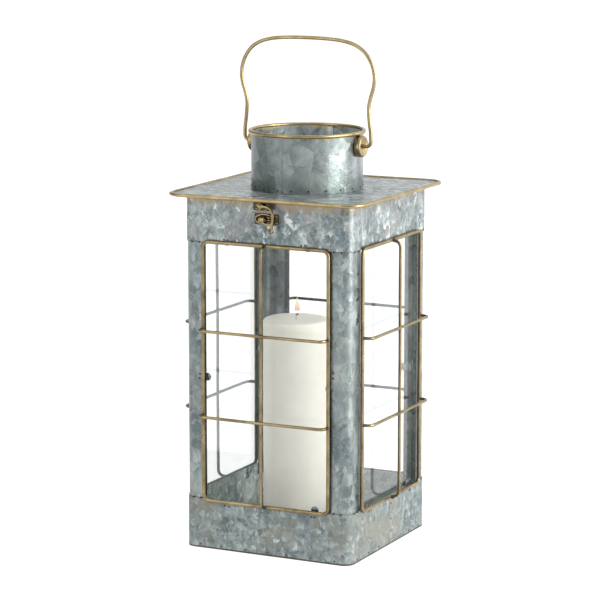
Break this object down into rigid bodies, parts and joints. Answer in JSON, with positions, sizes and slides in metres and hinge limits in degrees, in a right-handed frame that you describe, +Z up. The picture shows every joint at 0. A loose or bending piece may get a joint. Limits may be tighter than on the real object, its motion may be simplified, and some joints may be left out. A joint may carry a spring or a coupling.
{
  "type": "candle lantern",
  "caption": "Square sheet-metal candle lantern with four glazed wire-grille windows, a hinged lid with an open chimney collar and a wire bail.",
  "frame": {"origin": "centre of the underside of the floor pan, the flat face the lantern stands on", "axes": "+Z up; the latch side is the front at -Y; the lid hinge is at +Y; the bail lugs are at +X and -X"},
  "size_m": [0.2426, 0.2426, 0.5781],
  "materials": {
    "galvanised_steel": "spangled galvanised sheet, weathered blue-grey",
    "antique_brass": "antique gold-brass lacquer on steel wire",
    "clear_glass": "clear flat glass",
    "ivory_wax": "smooth ivory wax",
    "wick_cotton": "charred cotton"
  },
  "bodies": {
    "lantern_body": {"base_band": "galvanised_steel", "floor_pan": "galvanised_steel", "top_band": "galvanised_steel", "corner_post_front_right": "galvanised_steel", "corner_post_rear_right": "galvanised_steel", "corner_post_rear_left": "galvanised_steel", "corner_post_front_left": "galvanised_steel", "window_frame_front": "antique_brass", "upright_wire_front": "antique_brass", "cross_wire_front_lower": "antique_brass", "cross_wire_front_upper": "antique_brass", "glass_pane_front": "clear_glass", "glass_tab_front_top_left": "galvanised_steel", "glass_tab_front_top_right": "galvanised_steel", "glass_tab_front_bottom_left": "galvanised_steel", "glass_tab_front_bottom_right": "galvanised_steel", "window_frame_right": "antique_brass", "upright_wire_right": "antique_brass", "cross_wire_right_lower": "antique_brass", "cross_wire_right_upper": "antique_brass", "glass_pane_right": "clear_glass", "glass_tab_right_top_left": "galvanised_steel", "glass_tab_right_top_right": "galvanised_steel", "glass_tab_right_bottom_left": "galvanised_steel", "glass_tab_right_bottom_right": "galvanised_steel", "window_frame_rear": "antique_brass", "upright_wire_rear": "antique_brass", "cross_wire_rear_lower": "antique_brass", "cross_wire_rear_upper": "antique_brass", "glass_pane_rear": "clear_glass", "glass_tab_rear_top_left": "galvanised_steel", "glass_tab_rear_top_right": "galvanised_steel", "glass_tab_rear_bottom_left": "galvanised_steel", "glass_tab_rear_bottom_right": "galvanised_steel", "window_frame_left": "antique_brass", "upright_wire_left": "antique_brass", "cross_wire_left_lower": "antique_brass", "cross_wire_left_upper": "antique_brass", "glass_pane_left": "clear_glass", "glass_tab_left_top_left": "galvanised_steel", "glass_tab_left_top_right": "galvanised_steel", "glass_tab_left_bottom_left": "galvanised_steel", "glass_tab_left_bottom_right": "galvanised_steel", "hinge_body_leaf": "galvanised_steel", "hinge_pin": "antique_brass", "latch_keeper": "antique_brass"},
    "lid": {"lid_plate": "galvanised_steel", "lid_rim": "antique_brass", "collar": "galvanised_steel", "collar_rim": "antique_brass", "bail_lug_right": "antique_brass", "bail_lug_left": "antique_brass", "hinge_lid_leaf": "galvanised_steel", "latch_plate": "antique_brass", "latch_rivet": "antique_brass"},
    "bail": {"bail": "antique_brass"},
    "latch_hook": {"latch_hook": "antique_brass"},
    "candle": {"candle": "ivory_wax", "wick": "wick_cotton"}
  },
  "joints": [
    {"name": "lid_hinge", "type": "hinge", "parent": "lantern_body", "child": "lid", "pos_m": [0, 0.1073, 0.4022], "axis": [-1, 0, 0], "range_deg": [0, 100]},
    {"name": "bail_swing", "type": "hinge", "parent": "lid", "child": "bail", "pos_m": [0, 0, 0.4566], "axis": [1, 0, 0], "range_deg": [-113, 113]},
    {"name": "latch_swing", "type": "hinge", "parent": "lid", "child": "latch_hook", "pos_m": [-0.0015, -0.1143, 0.3996], "axis": [0, -1, 0], "range_deg": [0, 25]},
    {"name": "candle_lift", "type": "slide", "parent": "lantern_body", "child": "candle", "axis": [0, 0, 1], "range_m": [0, 0.29]}
  ]
}
